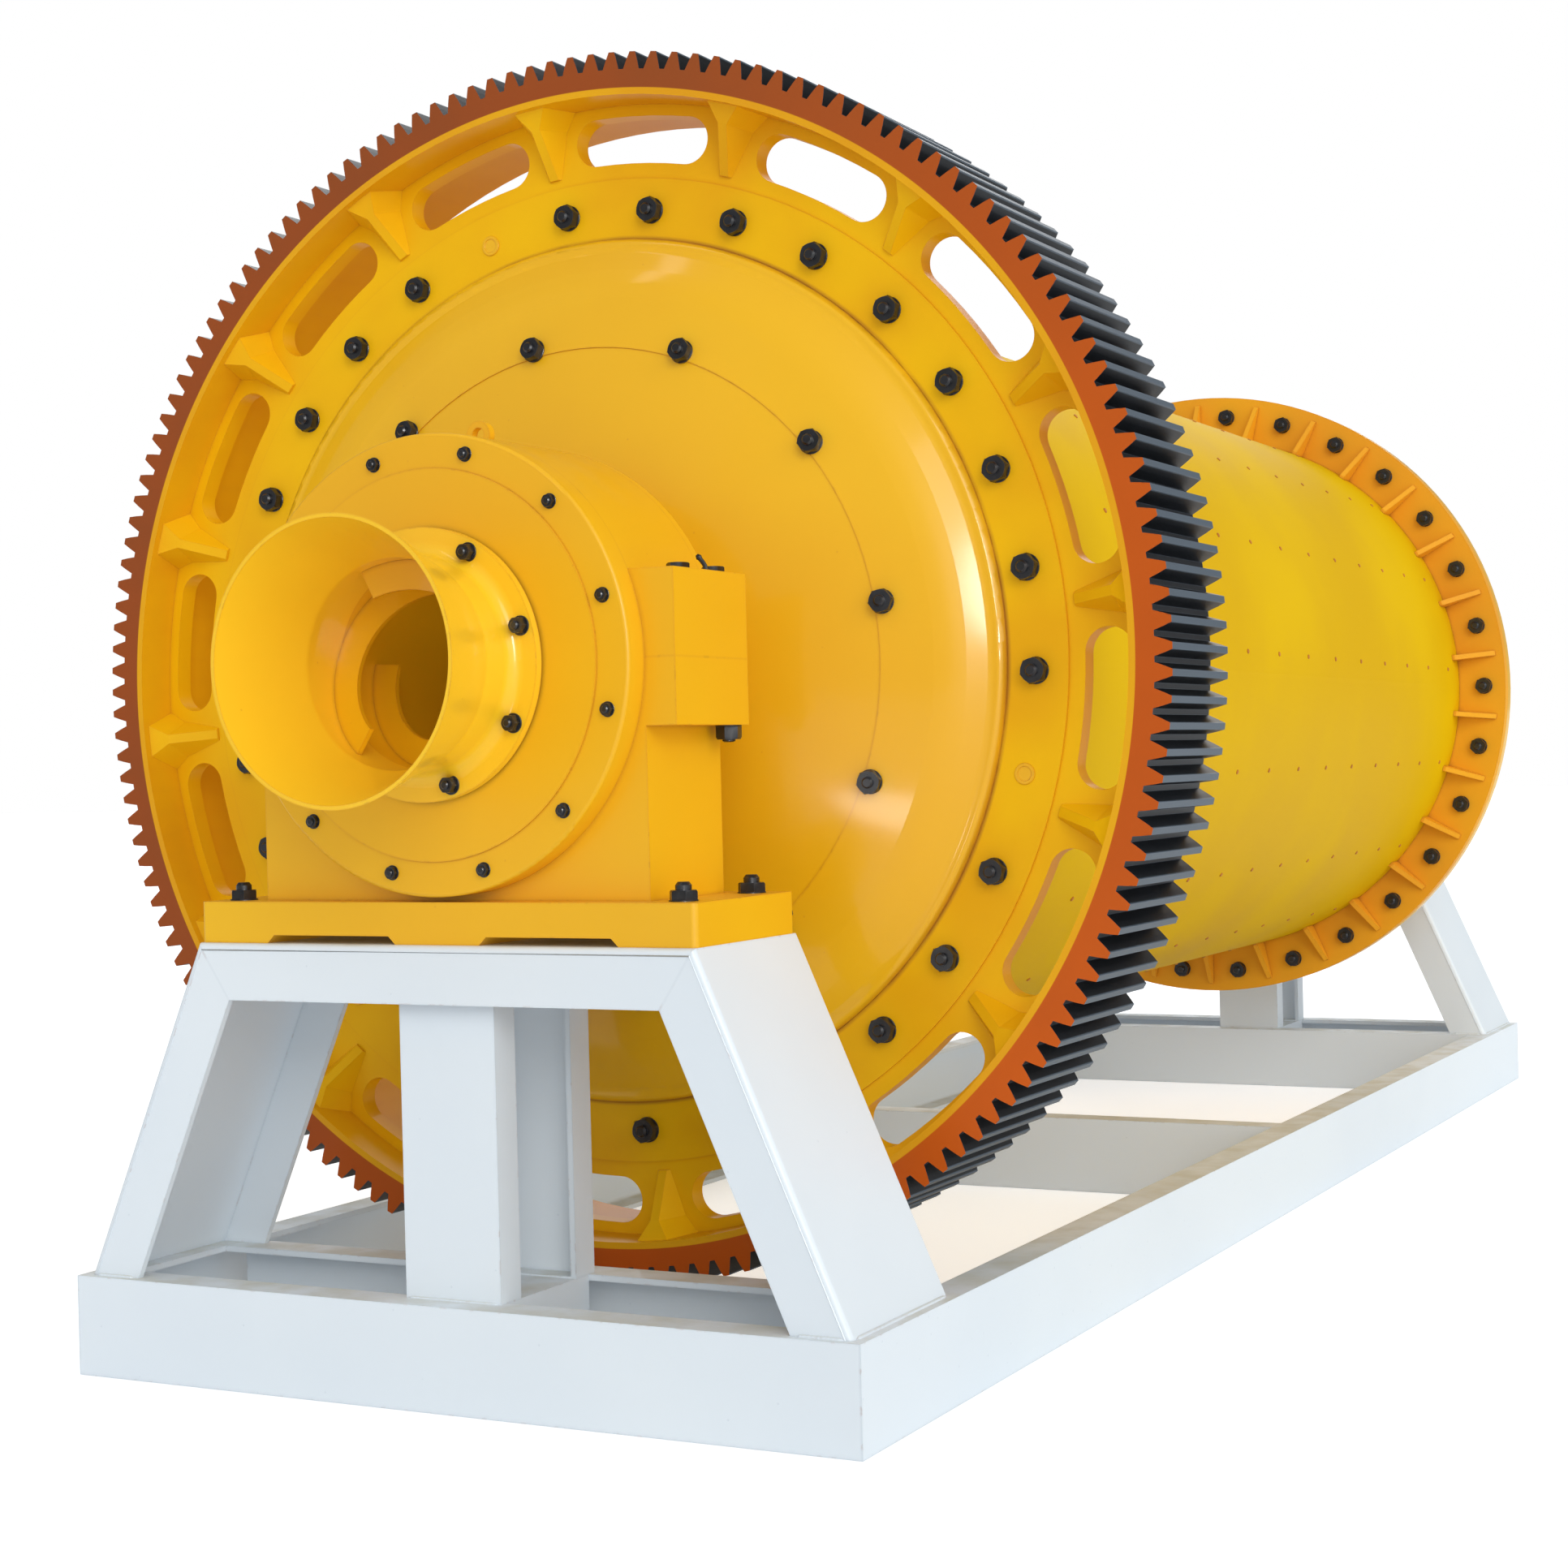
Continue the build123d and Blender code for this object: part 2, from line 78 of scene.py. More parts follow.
def around_axis(degrees):
    """Unit vectors that point out from the mill's axis: (sin a, 0, cos a) for each angle a."""
    a = np.radians(np.atleast_1d(degrees).astype(float))
    return np.stack([np.sin(a), np.zeros_like(a), np.cos(a)], axis=1)


def on_circle(degrees, radius, y):
    """Points at that radius: the axis point (0, y, axis height) plus radius times the outward vector."""
    return np.array([0.0, y, axis_height]) + radius * around_axis(degrees)


def even_angles(count, first):
    """count angles, 360 / count apart, from the first one on."""
    return first + 360 / count * np.arange(count)


print("mill axis at", round(axis_height, 4))

# %% [markdown]
# A bolt head, a nut, a washer and a plug are all stacks of rings. A ring is a circle or a hexagon, so
# one surface makes them: the angle round the bolt is one parameter and the ring number is the other.
# Primitive cylinders with bevels would give the same outline, but no rounded crown on the head.

# %% A stack of round and six-sided rings
def capped_tube(rings, first_middle, last_middle):
    """Points and faces of rows of rings, joined by quads, with a fan to a middle point at each end."""
    count, sides = rings.shape[:2]
    points = np.concatenate([rings.reshape(-1, 3), [first_middle], [last_middle]])
    ring, side = np.meshgrid(np.arange(count - 1), np.arange(sides), indexing="ij")
    here, beside = ring * sides + side, ring * sides + (side + 1) % sides
    quads = np.stack([here, beside, beside + sides, here + sides], axis=2).reshape(-1, 4)
    around = np.arange(sides)
    onward, last = (around + 1) % sides, (count - 1) * sides
    first_fan = np.stack([onward, around, np.full(sides, len(points) - 2)], axis=1)
    last_fan = np.stack([around + last, onward + last, np.full(sides, len(points) - 1)], axis=1)
    return points, [quads, first_fan, last_fan]


def ring_stack(profile, sides=24):
    """Surface for rows of (corner radius, height, share of hexagon).

    At angle t a ring's radius is corner radius * ((1 - share) + share * hexagon(t)), where
    hexagon(t) = cos 30 / cos((t mod 60) - 30), so a share of 0 is a circle and 1 is a hexagon.
    """
    radius, height, share = np.array(profile, float).T
    t = np.linspace(0, 2 * np.pi, sides, endpoint=False)
    hexagon = np.cos(np.pi / 6) / np.cos(np.mod(t, np.pi / 3) - np.pi / 6)
    r = radius[:, None] * ((1 - share[:, None]) + share[:, None] * hexagon[None, :])
    heights = np.broadcast_to(height[:, None], r.shape)
    rings = np.stack([r * np.cos(t), r * np.sin(t), heights], axis=2)
    return capped_tube(rings, [0.0, 0.0, height[0]], [0.0, 0.0, height[-1]])


def nut_profile(corner_radius, height, washer, end, end_height):
    """Washer, six-sided nut with a chamfered crown, then the domed end of the bolt.

    washer and end are shares of the corner radius, and end_height is a share of the nut's height.
    """
    washer_top = 0.12 * height
    return [
        (corner_radius * washer, -0.001, 0.0),
        (corner_radius * washer, washer_top * 0.75, 0.0),
        (corner_radius * washer * 0.97, washer_top, 0.0),
        (corner_radius, washer_top, 1.0),
        (corner_radius, height * 0.84, 1.0),
        (corner_radius * 0.9, height, 0.25),
        (corner_radius * end, height, 0.0),
        (corner_radius * end, height * (1 + 0.6 * end_height), 0.0),
        (corner_radius * end * 0.7, height * (1 + end_height), 0.0),
    ]


large_nut = ring_stack(nut_profile(0.0245, 0.021, washer=0.98, end=0.45, end_height=0.4))
medium_nut = ring_stack(nut_profile(0.0225, 0.019, washer=0.98, end=0.45, end_height=0.4))
print("one nut has", len(large_nut[0]), "points")

# %% [markdown]
# One mesh holds a whole circle of bolts. The same small stack is copied to every seat at once: each
# copy is seat + x * side + y * second + z * out, which numpy works out for all the bolts in one step.
# Linked duplicates would be lighter to edit, but a fitter counts a bolt circle as one set.

# %% Copies of a stack on their seats, and the piece that holds them
sharp_angle = 32


def copied(stack, seats, outs, turns=0.0):
    """The stack at every seat with its height along out; side = out x (a vector not along out)."""
    points, faces = stack
    seats = np.atleast_2d(seats).astype(float)
    outs = np.broadcast_to(np.atleast_2d(outs).astype(float), seats.shape)
    outs = outs / np.linalg.norm(outs, axis=1, keepdims=True)
    helper = np.where(np.abs(outs[:, 2:3]) > 0.8, [[0.0, 1.0, 0.0]], [[0.0, 0.0, 1.0]])
    side = np.cross(helper, outs)
    side /= np.linalg.norm(side, axis=1, keepdims=True)
    second = np.cross(outs, side)
    turn = np.broadcast_to(np.radians(turns), (len(seats),))[:, None]
    first = side * np.cos(turn) + second * np.sin(turn)
    second = second * np.cos(turn) - side * np.sin(turn)
    placed = (
        seats[:, None, :]
        + points[None, :, 0:1] * first[:, None, :]
        + points[None, :, 1:2] * second[:, None, :]
        + points[None, :, 2:3] * outs[:, None, :]
    ).reshape(-1, 3)
    shift = (np.arange(len(seats)) * len(points))[:, None, None]
    return placed, [(part[None] + shift).reshape(-1, part.shape[1]) for part in faces]


def joined(*surfaces):
    """One surface from several: points in a row, and each one's faces moved on by the points before."""
    points, faces, before = [], [], 0
    for these, parts in surfaces:
        points.append(these)
        faces += [part + before for part in parts]
        before += len(these)
    return np.concatenate(points), faces


def make_piece(name, surface, material, body):
    """A mesh object with its place in its points, riding on a body, with its finish as its material."""
    points, faces = surface
    mesh = bpy.data.meshes.new(name)
    mesh.from_pydata(points, [], [face for part in faces for face in part.tolist()])
    mesh.validate()
    mesh.shade_smooth()
    mesh.set_sharp_from_angle(angle=np.radians(sharp_angle))
    mesh.materials.append(material)
    piece = bpy.data.objects.new(name, mesh)
    bpy.context.scene.collection.objects.link(piece)
    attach(piece, body)
    print(name, len(mesh.polygons), "faces")


print("two nuts side by side have", len(copied(large_nut, [[0, 0, 0], [1, 0, 0]], upward)[0]), "points")

# %% [markdown]
# Paint and steel are made of the same few steps: a pattern, a mask from it, and one colour laid over
# another where the mask shows. Short helpers keep each finish readable as a list of layers. Wiring
# every node by hand would give the same materials in many more lines.

# %% Small helpers for nodes
def fill(tree, socket, value):
    """Links a socket to another one, or sets its steady value."""
    if isinstance(value, bpy.types.NodeSocket):
        tree.links.new(value, socket)
    else:
        socket.default_value = value


def node(tree, kind, settings=None, **inputs):
    """Adds a node, sets its own options, then fills its inputs by name or, as i0, i1 and so on, by number."""
    made = tree.nodes.new(kind)
    for option, value in (settings or {}).items():
        setattr(made, option, value)
    for key, value in inputs.items():
        by_number = key[0] == "i" and key[1:].isdigit()
        fill(tree, made.inputs[int(key[1:]) if by_number else key.replace("_", " ")], value)
    return made


def maths(tree, operation, first, second=0.0, clamp=False):
    """One Math node and its output."""
    settings = {"operation": operation, "use_clamp": clamp}
    return node(tree, "ShaderNodeMath", settings, i0=first, i1=second).outputs[0]


def scaled(tree, value, factor, base):
    """value * factor + base, in one Math node."""
    settings = {"operation": "MULTIPLY_ADD"}
    return node(tree, "ShaderNodeMath", settings, i0=value, i1=factor, i2=base).outputs[0]


def vector(tree, operation, first, second=(0, 0, 0)):
    """One Vector Math node."""
    return node(tree, "ShaderNodeVectorMath", {"operation": operation}, i0=first, i1=second).outputs


def ramped(tree, value, low, high):
    """0 below low, 1 above high, and a smooth step between."""
    settings = {"interpolation_type": "SMOOTHSTEP"}
    return node(tree, "ShaderNodeMapRange", settings, Value=value, From_Min=low, From_Max=high).outputs[0]


def noise(tree, place, size, detail, roughness=0.5):
    """A noise pattern of values round 0.5, with patches of about that size."""
    scale = maths(tree, "DIVIDE", 1.0, size)
    made = node(tree, "ShaderNodeTexNoise", Vector=place, Scale=scale, Detail=detail, Roughness=roughness)
    return made.outputs[0]


def mixed(tree, factor, first, second):
    """One colour turning into another as factor goes from 0 to 1."""
    return node(tree, "ShaderNodeMix", {"data_type": "RGBA"}, i0=factor, i6=first, i7=second).outputs[2]


def covered(tree, colour, mask, amount, layer):
    """The colour with a layer over it, where the mask is 1 by that amount, and not at all where it is 0."""
    return mixed(tree, maths(tree, "MULTIPLY", mask, amount), colour, layer)


def new_group(name, inputs, outputs):
    """An empty node group with named float inputs, their usual values, and named float outputs."""
    group = bpy.data.node_groups.new(name, "ShaderNodeTree")
    for label, value in inputs.items():
        socket = group.interface.new_socket(label, in_out="INPUT", socket_type="NodeSocketFloat")
        socket.default_value = value
    for label in outputs:
        group.interface.new_socket(label, in_out="OUTPUT", socket_type="NodeSocketFloat")
    given, wanted = group.nodes.new("NodeGroupInput"), group.nodes.new("NodeGroupOutput")
    print("shared effect:", name)
    return group, given.outputs, wanted.inputs


def effect(tree, group, **values):
    """Places a shared group in a material with its own values and returns its outputs."""
    made = tree.nodes.new("ShaderNodeGroup")
    made.node_tree = group
    for label, value in values.items():
        made.inputs[label.replace("_", " ")].default_value = value
    return made.outputs


def object_place(tree):
    """The shaded point in the object's own coordinates."""
    return node(tree, "ShaderNodeTexCoord").outputs["Object"]


def mill_radius(tree, place):
    """The vector from the point of the axis above the origin, and the distance from the axis."""
    centred = vector(tree, "SUBTRACT", place, (0, 0, axis_height))[0]
    across = vector(tree, "MULTIPLY", centred, (1, 0, 1))[0]
    return centred, vector(tree, "LENGTH", across)["Value"]


print("helpers for nodes are ready")

# %% [markdown]
# Five effects are shared by the finishes, each as a node group with its own values in every material.
# Copying their nodes into each material would work too, but a better grain would then need many edits.
#
# The first is what any sprayed or forged surface shows: slow changes of tone, a fine grain, and a few
# specks. Specks are the middles of a coarse cell pattern, kept in about one cell out of seven.

# %% Shared effect: tone and grain
usual = {"Patch Size": 0.6, "Grain Size": 0.004}
tone_group, given, wanted = new_group("tone and grain", usual, ["Tone", "Grain", "Specks"])
place = object_place(tone_group)
patches = noise(tone_group, place, given["Patch Size"], 3.0, 0.45)
grain = noise(tone_group, place, given["Grain Size"], 2.0)
cells_per_grain = 0.12
cell_scale = maths(tone_group, "DIVIDE", cells_per_grain, given["Grain Size"])
cells = node(tone_group, "ShaderNodeTexVoronoi", Vector=place, Scale=cell_scale)
far_from_middle = ramped(tone_group, cells.outputs["Distance"], 0.03, 0.09)
cell_number = node(tone_group, "ShaderNodeSeparateColor", Color=cells.outputs["Color"]).outputs[0]
kept_cell = maths(tone_group, "GREATER_THAN", cell_number, 0.86)
specks = maths(tone_group, "MULTIPLY", maths(tone_group, "SUBTRACT", 1.0, far_from_middle), kept_cell)
tone_group.links.new(ramped(tone_group, patches, 0.32, 0.68), wanted["Tone"])
tone_group.links.new(grain, wanted["Grain"])
tone_group.links.new(specks, wanted["Specks"])

# %% [markdown]
# Paint is thin on an edge and chips there first. A Bevel node gives the normal of a rounded edge, and
# where it differs from the true normal there is an edge. Noise breaks the edge up into bare places.

# %% Shared effect: worn edges
edge_group, given, wanted = new_group("worn edges", {"Reach": 0.004, "Break Up": 0.03}, ["Edge", "Bare"])
rounded = node(edge_group, "ShaderNodeBevel", {"samples": 3}, Radius=given["Reach"]).outputs[0]
flat = node(edge_group, "ShaderNodeNewGeometry").outputs["Normal"]
alike = vector(edge_group, "DOT_PRODUCT", rounded, flat)["Value"]
edge = ramped(edge_group, maths(edge_group, "SUBTRACT", 1.0, alike), 0.01, 0.12)
chips = noise(edge_group, object_place(edge_group), given["Break Up"], 4.0)
bare = maths(edge_group, "MULTIPLY", edge, ramped(edge_group, chips, 0.56, 0.66))
edge_group.links.new(edge, wanted["Edge"])
edge_group.links.new(bare, wanted["Bare"])

# %% [markdown]
# Dust settles on what faces up, in drifts. The height part of the normal says what faces up.

# %% Shared effect: settled dust
dust_group, given, wanted = new_group("settled dust", {"Patch Size": 0.12}, ["Dust"])
coordinates = node(dust_group, "ShaderNodeTexCoord").outputs
facing_up = node(dust_group, "ShaderNodeSeparateXYZ", i0=coordinates["Normal"]).outputs[2]
drifts = ramped(dust_group, noise(dust_group, coordinates["Object"], given["Patch Size"], 5.0), 0.3, 0.75)
settled = maths(dust_group, "MULTIPLY", ramped(dust_group, facing_up, 0.55, 0.98), drifts)
dust_group.links.new(settled, wanted["Dust"])

# %% [markdown]
# A thin brown ring of painted shade runs round the joint between head and gear, where its step
# casts a shadow. The ring is a band in the distance from the axis, made uneven by a broad noise.

# %% Shared effect: painted shade in the seam between head and gear
seam_shade_group, given, wanted = new_group("painted seam shade", {"Radius": 0.808, "Width": 0.006}, ["Seam"])
place = object_place(seam_shade_group)
distance = mill_radius(seam_shade_group, place)[1]
off_seam = maths(seam_shade_group, "ABSOLUTE", maths(seam_shade_group, "SUBTRACT", distance, given["Radius"]))
in_widths = maths(seam_shade_group, "DIVIDE", off_seam, given["Width"], clamp=True)
ring = maths(seam_shade_group, "SUBTRACT", 1.0, in_widths)
seam_breakup = ramped(seam_shade_group, noise(seam_shade_group, place, 0.2, 3.0), 0.2, 0.6)
seam_shade_group.links.new(maths(seam_shade_group, "MULTIPLY", ring, seam_breakup), wanted["Seam"])

# %% [markdown]
# Corners and creases are painted darker here, as painted shade where less light reaches. Ambient
# Occlusion with a short reach finds these corners, and noise keeps the painted shade from being even.

# %% Shared effect: painted shade in corners
corner_shade_group, given, wanted = new_group("painted shade in corners", {"Reach": 0.02, "Patch Size": 0.15}, ["Grime"])
occlusion = node(corner_shade_group, "ShaderNodeAmbientOcclusion", {"samples": 4}, Distance=given["Reach"])
closed = maths(corner_shade_group, "SUBTRACT", 1.0, ramped(corner_shade_group, occlusion.outputs["AO"], 0.2, 0.75))
shade_noise = noise(corner_shade_group, object_place(corner_shade_group), given["Patch Size"], 4.0)
uneven = scaled(corner_shade_group, shade_noise, 0.8, 0.35)
corner_shade_group.links.new(maths(corner_shade_group, "MULTIPLY", closed, uneven, clamp=True), wanted["Grime"])

# %% [markdown]
# The mill wears a glossy machine paint, sprayed on thick. It shows an amber body colour that drifts a
# little from patch to patch, a fine orange-peel skin, a clear gloss on top, and a browner line where
# the spray ran thin over an edge. A single amber colour would look like plastic, so the tone, the
# roughness and the skin each have their own pattern.

# %% Colours as a painter reads them
def shade(red, green, blue):
    """Linear colour from 0-255 screen values: ((c + 0.055) / 1.055) ^ 2.4, or c / 12.92 near black."""
    c = np.array([red, green, blue]) / 255
    linear = np.where(c > 0.04045, ((c + 0.055) / 1.055) ** 2.4, c / 12.92)
    return (*linear.tolist(), 1.0)


# Each set of tones holds the body colour, a deeper one and a lighter one.
amber_tones = shade(234, 177, 16), shade(228, 166, 16), shade(238, 184, 14)
shell_tones = shade(218, 173, 8), shade(206, 158, 10), shade(224, 182, 8)
flange_tones = shade(232, 160, 34), shade(220, 146, 38), shade(238, 172, 28)
# The trumpet's tones are the amber painted lighter: painted light.
lit_trumpet_tones = shade(247, 196, 36), shade(242, 188, 34), shade(250, 200, 38)
white_tones = shade(223, 229, 234), shade(213, 221, 229), shade(223, 229, 234)
thin_amber, thin_white, primer = shade(206, 132, 34), shade(188, 197, 206), shade(150, 88, 40)
# The corner colours are laid on as painted shade in corners and seams; corner_brown also tones the plugs.
corner_brown, corner_shade_grey, dust_khaki = shade(150, 84, 36), shade(148, 160, 174), shade(188, 180, 150)
# rim_shade_brown is painted shade on the rim's upper left.
rim_orange, rim_orange_deep, rim_shade_brown = shade(196, 88, 22), shade(168, 76, 26), shade(138, 72, 36)
steel_black, steel_blue = shade(13, 14, 17), shade(24, 27, 32)
bolt_black, bolt_blue, bolt_rubbed = shade(12, 12, 15), shade(24, 25, 31), shade(96, 104, 122)
tooth_tip_grey, tooth_edge_grey = shade(88, 99, 110), shade(104, 114, 130)
print("amber in linear light:", [round(part, 3) for part in amber_tones[0][:3]])

# %% [markdown]
# A sprayed coat is built up as it is in the paint shop: body colour, thin places on the edges, bare
# chips, specks and, on level faces, dust. Painted shade in the corners is laid on too. The same recipe
# with other tones serves the head, the shell, the flanges, the bearings and the stand.

# %% Sprayed paint
peel_strength, peel_depth, coat_roughness = 0.06, 0.0006, 0.1


def new_material(name, roughness, metallic=0.0, coat=0.0, gleam=0.3):
    """A material with one Principled shader whose steady values sit on its own sockets."""
    material = bpy.data.materials.new(name)
    material.use_nodes = True
    shader = material.node_tree.nodes["Principled BSDF"]
    shader.inputs["Roughness"].default_value = roughness
    shader.inputs["Metallic"].default_value = metallic
    shader.inputs["Coat Weight"].default_value = coat
    shader.inputs["Coat Roughness"].default_value = coat_roughness
    shader.inputs["Specular IOR Level"].default_value = gleam
    return material, material.node_tree, shader


def surfaced(tree, shader, colour, roughness, grain, strength, depth):
    """Puts a changing colour and roughness on the shader, and a fine skin made from the grain."""
    skin = node(tree, "ShaderNodeBump", Strength=strength, Distance=depth, Height=grain)
    tree.links.new(colour, shader.inputs["Base Color"])
    tree.links.new(roughness, shader.inputs["Roughness"])
    tree.links.new(skin.outputs[0], shader.inputs["Normal"])


def spray_paint(name, tones, thin, corner, roughness, coat, dusty=0.0, gleam=0.3, corner_shading=0.7, seam_shade=0.0):
    """Sprayed paint; dusty, corner_shading and seam_shade say how much dust, painted shade in corners and
    painted shade in the seam it shows.
    """
    material, tree, shader = new_material(name, roughness, coat=coat, gleam=gleam)
    tone = effect(tree, tone_group, Patch_Size=0.55, Grain_Size=0.0035)
    edges = effect(tree, edge_group, Reach=0.005, Break_Up=0.02)
    corner_shade = effect(tree, corner_shade_group, Reach=0.018, Patch_Size=0.12)["Grime"]
    body, deep, light = tones
    colour = mixed(tree, 0.55, mixed(tree, tone["Tone"], deep, light), body)
    colour = covered(tree, colour, edges["Edge"], 0.4, thin)
    colour = covered(tree, colour, edges["Bare"], 0.35, primer)
    colour = covered(tree, colour, tone["Specks"], 0.35, thin)
    # Painted shade: corners found by Ambient Occlusion are darkened.
    colour = covered(tree, colour, corner_shade, corner_shading, corner)
    # Painted shade in the seam between head and gear.
    if seam_shade:
        colour = covered(tree, colour, effect(tree, seam_shade_group, Width=0.007)["Seam"], seam_shade, corner)
    worn_roughness = scaled(tree, tone["Tone"], 0.08, roughness - 0.04)
    if dusty:
        dust = maths(tree, "MULTIPLY", effect(tree, dust_group, Patch_Size=0.09)["Dust"], dusty)
        colour = mixed(tree, dust, colour, dust_khaki)
        worn_roughness = maths(tree, "ADD", worn_roughness, maths(tree, "MULTIPLY", dust, 0.5), clamp=True)
    surfaced(tree, shader, colour, worn_roughness, tone["Grain"], peel_strength, peel_depth)
    print("paint:", name)
    return material


mill_paint = spray_paint(
    "glossy amber head paint", amber_tones, thin_amber, corner_brown, 0.38, 0.5, gleam=0.22, seam_shade=0.55
)
lit_trumpet_paint = spray_paint(
    "amber trumpet paint with painted light", lit_trumpet_tones, thin_amber, corner_brown, 0.38, 0.4, gleam=0.2
)
housing_paint = spray_paint(
    "amber bearing paint", amber_tones, thin_amber, corner_brown, 0.45, 0.1, dusty=0.1
)
shell_paint = spray_paint(
    "satin yellow shell paint", shell_tones, thin_amber, corner_brown, 0.5, 0.0, gleam=0.02
)
flange_paint = spray_paint(
    "orange amber flange paint", flange_tones, thin_amber, corner_brown, 0.5, 0.0, gleam=0.12
)
plug_paint = spray_paint(
    "painted over lining plugs", (thin_amber, corner_brown, thin_amber), corner_brown, primer, 0.5, 0.0
)
stand_paint = spray_paint(
    "white stand paint", white_tones, thin_white, corner_shade_grey, 0.45, 0.1, dusty=0.5, corner_shading=0.25
)

# %% [markdown]
# The girth gear is a casting. Its web and ribs share the amber of the mill, the rim's face and the
# faces of the teeth are orange, and the flanks of the teeth are bare, dark and oily. One material
# tells them apart by how far a point lies from the axis and which way it faces. Separate materials
# per face would need the mesh cut up, and the CAD mesh is left as it came.

# %% Gear finish: masks for web, rim, teeth and flanks
rim_inner_radius, tooth_root_radius, tooth_tip_radius = 1.057, 1.1025, 1.134
amber_border = 0.013
orange_radius = rim_inner_radius + amber_border
gear_finish, tree, shader = new_material("gear casting and bare teeth", 0.4)
coordinates = node(tree, "ShaderNodeTexCoord").outputs
centred, distance = mill_radius(tree, coordinates["Object"])
along_axis = node(tree, "ShaderNodeSeparateXYZ", i0=coordinates["Normal"]).outputs[1]
end_face = ramped(tree, maths(tree, "ABSOLUTE", along_axis), 0.55, 0.75)
shaded_border = ramped(tree, distance, rim_inner_radius - 0.002, rim_inner_radius + 0.002)
on_rim = ramped(tree, distance, orange_radius - 0.002, orange_radius)
in_teeth = ramped(tree, distance, tooth_root_radius - 0.006, tooth_root_radius - 0.003)
flank = maths(tree, "MULTIPLY", in_teeth, maths(tree, "SUBTRACT", 1.0, end_face))
tip_land = ramped(tree, distance, tooth_tip_radius - 0.0035, tooth_tip_radius - 0.0015)
print("rim is orange from", orange_radius, "m, teeth start at", tooth_root_radius, "m")

# %% [markdown]
# The rim's orange is painted browner and darker towards the upper left and brighter towards the lower
# right: painted shade and light, as from lamps low on the right. The amber band at the rim's inner edge
# is darkened as painted shade. The tips of the teeth and their corners are rubbed grey, and only the
# oily flanks gleam.

# %% Gear finish: colours laid over each other
tone = effect(tree, tone_group, Patch_Size=0.3, Grain_Size=0.003)
edges = effect(tree, edge_group, Reach=0.003, Break_Up=0.012)
corner_shade = effect(tree, corner_shade_group, Reach=0.018, Patch_Size=0.12)["Grime"]
web_colour = mixed(tree, tone["Tone"], amber_tones[1], amber_tones[2])
web_colour = covered(tree, web_colour, edges["Edge"], 0.35, thin_amber)
# Painted shade in the web's corners.
web_colour = covered(tree, web_colour, corner_shade, 0.35, corner_brown)
# The amber band at the rim's inner edge is darkened as painted shade.
web_colour = covered(tree, web_colour, shaded_border, 0.45, thin_amber)
# Painted shade in the seam round the head.
web_colour = covered(tree, web_colour, effect(tree, seam_shade_group, Width=0.007)["Seam"], 0.75, corner_brown)
# Painted shade and light: browner towards the upper left, brighter towards the lower right.
towards_low_right = vector(tree, "DOT_PRODUCT", centred, (0.8, 0, -0.6))["Value"]
rim_colour = mixed(tree, ramped(tree, towards_low_right, -0.9, 1.0), rim_shade_brown, rim_orange)
rim_colour = covered(tree, rim_colour, tone["Tone"], 0.35, rim_orange_deep)
rim_colour = covered(tree, rim_colour, edges["Bare"], 0.6, steel_blue)
flank_colour = mixed(tree, tone["Tone"], steel_black, steel_blue)
flank_colour = covered(tree, flank_colour, tip_land, 0.8, tooth_tip_grey)
flank_colour = covered(tree, flank_colour, edges["Edge"], 0.35, tooth_edge_grey)
casting_colour = mixed(tree, on_rim, web_colour, rim_colour)
gear_colour = mixed(tree, flank, casting_colour, flank_colour)
surfaced(tree, shader, gear_colour, scaled(tree, flank, 0.06, 0.34), tone["Grain"], 0.08, 0.0008)
tree.links.new(scaled(tree, flank, 0.16, 0.09), shader.inputs["Specular IOR Level"])
print("finish:", gear_finish.name)

# %% [markdown]
# The bolts and nuts are blackened steel with a trace of oil: nearly black, with a blue-grey gleam on
# the crown and lighter, rubbed corners. A pure black would lose the six sides in every view.

# %% Blackened steel
black_steel, tree, shader = new_material("blackened bolt steel", 0.32, metallic=0.1, gleam=0.7)
tone = effect(tree, tone_group, Patch_Size=0.02, Grain_Size=0.0015)
edges = effect(tree, edge_group, Reach=0.0015, Break_Up=0.006)
steel_colour = mixed(tree, tone["Tone"], bolt_black, bolt_blue)
steel_colour = covered(tree, steel_colour, edges["Edge"], 0.2, bolt_rubbed)
surfaced(tree, shader, steel_colour, scaled(tree, tone["Grain"], 0.2, 0.22), tone["Grain"], 0.1, 0.0003)
print("finish:", black_steel.name)

# %% [markdown]
# The CAD pieces come with named material slots, so each one gets its finish by its name. Everything
# that stands still and holds the mill up is white, the bearings and the turning parts are amber. The
# drum's shell is a colder yellow and its flanges lean to orange. The trumpet's amber is painted a
# little lighter, as painted light.

# %% Finish of each CAD node
def finish_for(name):
    """The finish of the CAD node with that name."""
    if name == "girth_gear":
        return gear_finish
    if name.startswith("base_") or "pedestal" in name or "column" in name:
        return stand_paint
    if "bearing" in name:
        return housing_paint
    if name in ("drum_front_flange", "drum_rear_flange"):
        return flange_paint
    if name in ("discharge_trumpet", "feed_spout"):
        return lit_trumpet_paint
    return shell_paint if name == "drum_shell" else mill_paint


for name, cad_piece in frame["nodes"].items():
    for holder in cad_piece.material_slots:
        holder.material = finish_for(name)
print("painted", len(frame["nodes"]), "CAD nodes")

# %% [markdown]
# Thirty bolts hold the gear, the head and the drum's flange together. Twenty-seven are black hexagon
# nuts on a washer with the rounded end of the bolt standing out. Three are blank plugs, painted over:
# such holes usually take the screws that push a joint apart. The bolt heads show between the drum's
# gussets.

